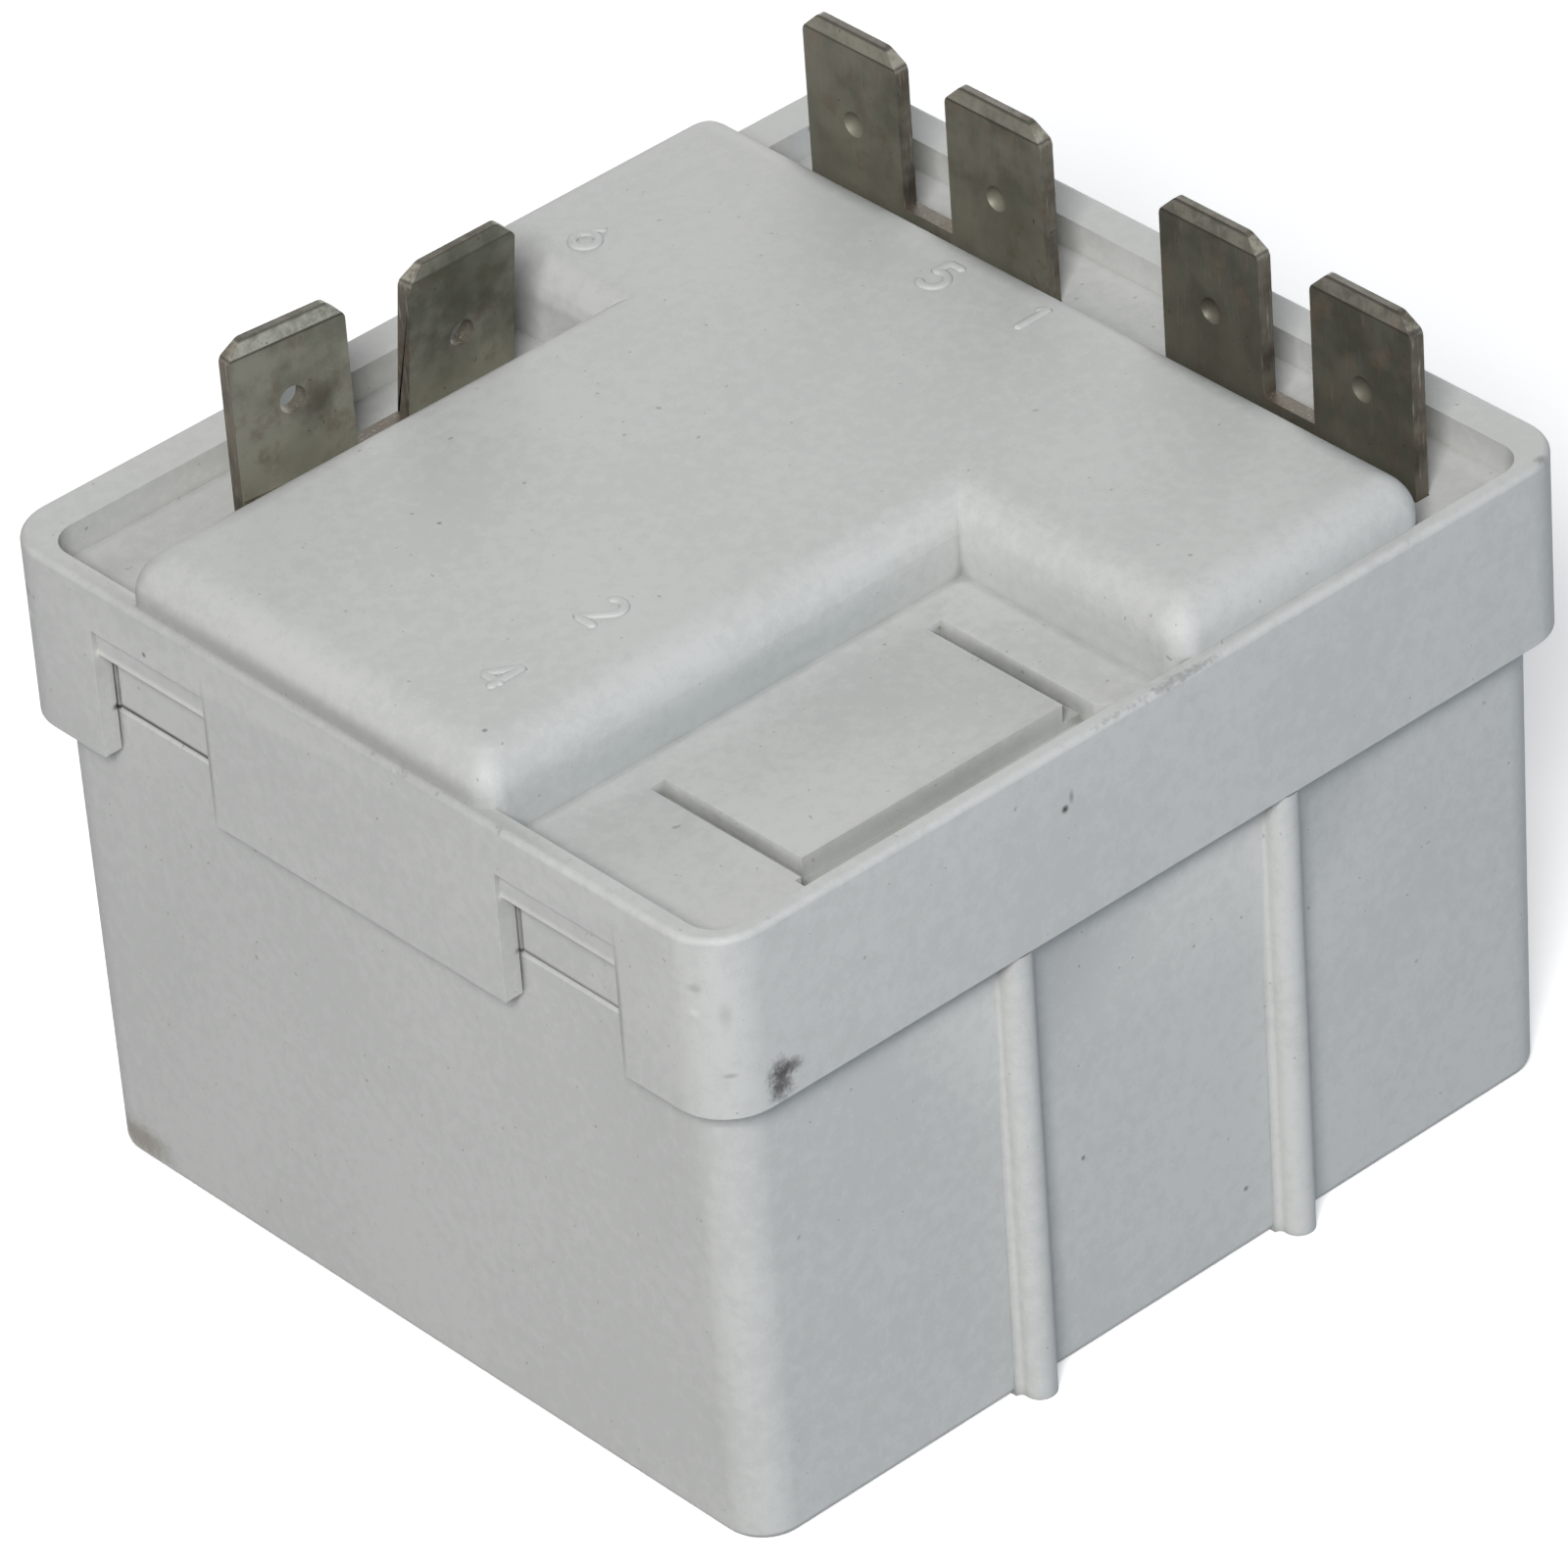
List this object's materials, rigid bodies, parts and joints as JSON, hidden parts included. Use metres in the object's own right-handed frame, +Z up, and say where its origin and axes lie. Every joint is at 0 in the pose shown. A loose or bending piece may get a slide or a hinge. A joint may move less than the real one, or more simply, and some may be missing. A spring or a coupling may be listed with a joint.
{
  "type": "relay",
  "caption": "Plug-in motor starting relay in a grey moulded case with a clip-on lid and three pairs of blade terminals.",
  "frame": {"origin": "middle of the flat underside", "axes": "+Z up out of the terminals, +X along the ribbed side towards the side terminals, +Y towards the rear terminals"},
  "size_m": [0.0524, 0.0478, 0.042],
  "materials": {
    "grey_plastic": "moulded, slightly worn and dirty",
    "terminal_metal": "tin plate gone dark",
    "plated_steel": "zinc plated",
    "spring_wire": "bright drawn",
    "bobbin_plastic": "moulded",
    "copper_wire": "enamelled copper",
    "tape": "wound polyester tape",
    "spring_bronze": "rolled",
    "silver_contact": "turned"
  },
  "bodies": {
    "housing": {"case": "grey_plastic", "lid": "grey_plastic", "terminal_rear": "terminal_metal", "terminal_side_back": "terminal_metal", "terminal_side_front": "terminal_metal", "frame": "plated_steel", "core": "plated_steel", "bobbin": "bobbin_plastic", "coil_pins": "terminal_metal", "winding": "copper_wire", "coil_tape": "tape", "hinge_pin": "plated_steel", "return_spring": "spring_wire", "fixed_contact": "silver_contact", "frame_screws": "plated_steel", "lead_start": "copper_wire", "lead_finish": "copper_wire", "frame_link": "copper_wire"},
    "armature": {"armature": "plated_steel", "residual_pad": "spring_bronze", "contact_blade": "spring_bronze", "blade_rivets": "spring_bronze", "moving_contact": "silver_contact"}
  },
  "joints": [
    {"name": "armature_pivot", "type": "hinge", "parent": "housing", "child": "armature", "pos_m": [0.0107, 0, 0.005], "axis": [0, -1, 0], "range_deg": [0, 2.7], "stiffness_Nm_per_rad": 0.02, "springref_deg": -4.58, "deforming": ["return_spring"]}
  ]
}
